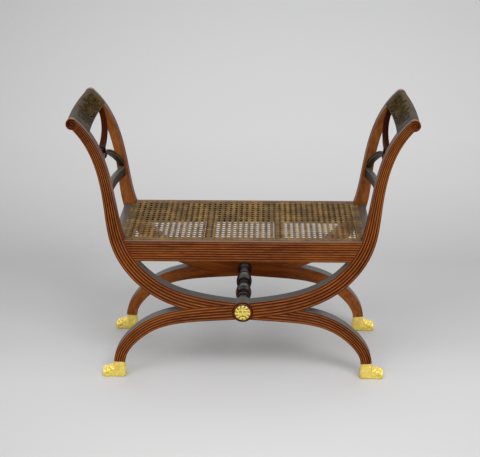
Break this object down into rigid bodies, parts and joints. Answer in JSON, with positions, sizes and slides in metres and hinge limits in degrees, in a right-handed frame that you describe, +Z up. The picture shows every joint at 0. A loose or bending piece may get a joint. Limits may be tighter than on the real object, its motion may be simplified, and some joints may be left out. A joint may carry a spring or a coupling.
{
  "type": "window bench",
  "caption": "Window bench on crossed, reeded mahogany frames, with caned seat, scrolled open arms, a turned stretcher and gilt paw feet.",
  "frame": {"origin": "on the floor, under the middle of the bench", "axes": "+X along the bench towards the right arm, -Y out of the front frame, +Z up"},
  "size_m": [1.01, 0.4022, 0.8115],
  "materials": {
    "mahogany": "French-polished red-brown mahogany, dark in the grooves",
    "dark_mahogany": "darkened, polished mahogany",
    "cane": "aged tan rattan cane, satin",
    "gilt": "water-gilt brass, lightly rubbed"
  },
  "bodies": {
    "root": {"front_member_to_right_arm": "mahogany", "front_member_to_left_arm": "mahogany", "rear_member_to_right_arm": "mahogany", "rear_member_to_left_arm": "mahogany", "front_seat_rail": "mahogany", "rear_seat_rail": "mahogany", "right_seat_rail": "mahogany", "left_seat_rail": "mahogany", "right_seat_brace": "mahogany", "left_seat_brace": "mahogany", "cane_panel": "cane", "cane_binding": "cane", "right_crest_rail": "mahogany", "right_mid_rail": "mahogany", "right_upper_bow": "dark_mahogany", "right_lower_bow": "dark_mahogany", "right_bow_collar": "dark_mahogany", "left_crest_rail": "mahogany", "left_mid_rail": "mahogany", "left_upper_bow": "dark_mahogany", "left_lower_bow": "dark_mahogany", "left_bow_collar": "dark_mahogany", "stretcher": "dark_mahogany", "front_boss": "mahogany", "front_rosette": "gilt", "rear_boss": "mahogany", "rear_rosette": "gilt", "front_left_paw": "gilt", "front_right_paw": "gilt", "rear_left_paw": "gilt", "rear_right_paw": "gilt"}
  },
  "joints": []
}
